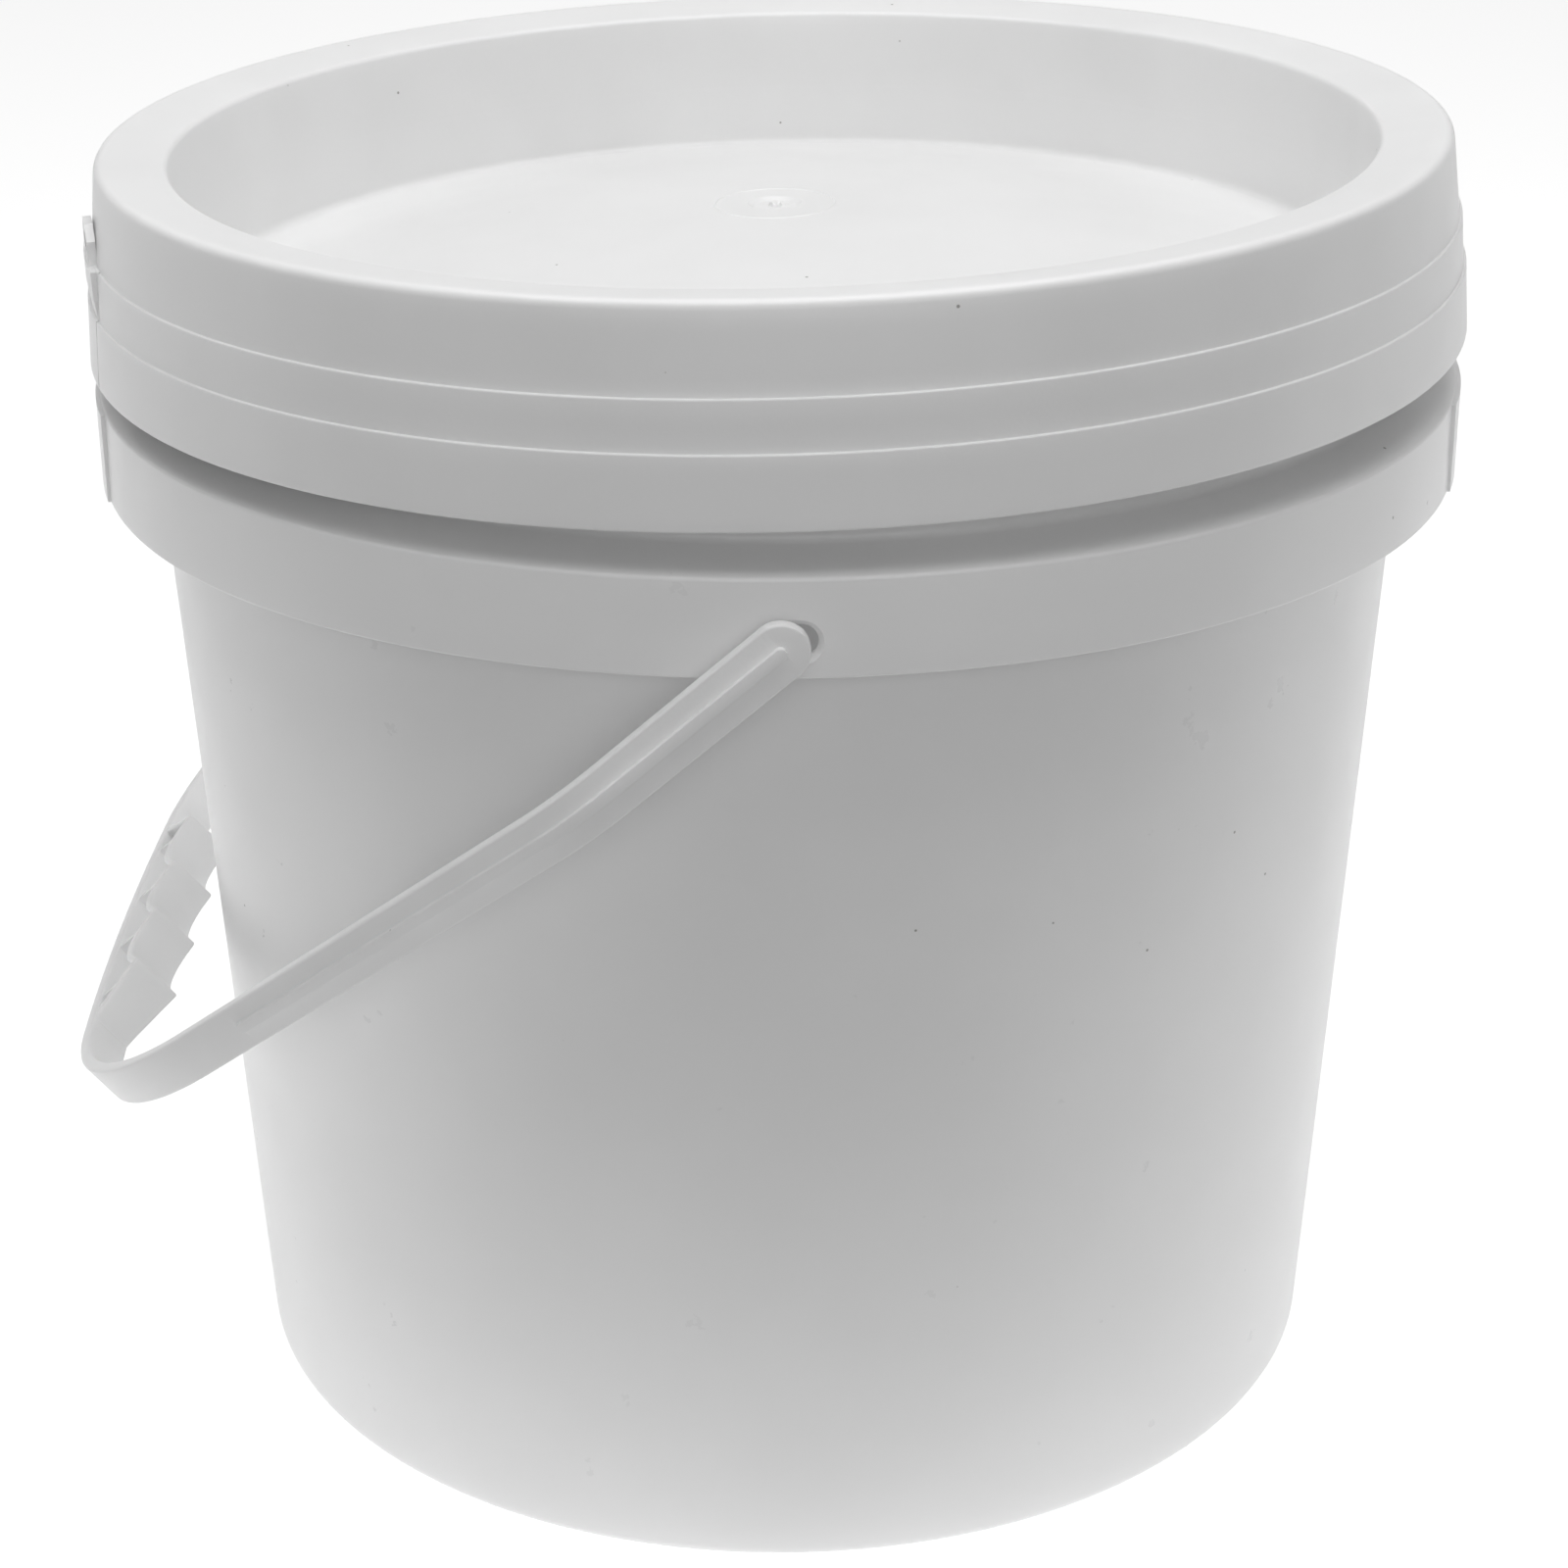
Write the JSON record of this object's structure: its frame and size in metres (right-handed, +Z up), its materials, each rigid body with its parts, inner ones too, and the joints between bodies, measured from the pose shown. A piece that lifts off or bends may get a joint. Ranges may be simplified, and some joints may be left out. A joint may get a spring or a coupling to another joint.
{
  "type": "plastic paint bucket",
  "caption": "Round tapered plastic bucket with a deep push-on lid, an open collar below the rim and a swing handle with a finger grip.",
  "frame": {"origin": "middle of the base's underside, on the bucket's axis", "axes": "+Z up along the bucket's axis, Y along the handle's pivots with the front pivot at -Y, the handle hanging towards -X"},
  "size_m": [0.2775, 0.28, 0.2581],
  "materials": {
    "body_plastic": "moulded white polypropylene, smooth and slightly translucent",
    "lid_plastic": "moulded white polypropylene, satin",
    "handle_plastic": "moulded white polypropylene, satin"
  },
  "bodies": {
    "bucket": {"bucket_body": "body_plastic"},
    "lid": {"lid": "lid_plastic"},
    "handle": {"handle": "handle_plastic"}
  },
  "joints": [
    {"name": "lid_lift", "type": "slide", "parent": "bucket", "child": "lid", "axis": [0, 0, 1], "range_m": [0, 0.12]},
    {"name": "handle_swing", "type": "hinge", "parent": "bucket", "child": "handle", "pos_m": [0, 0, 0.1984], "axis": [0, 1, 0], "range_deg": [0, 261]}
  ]
}
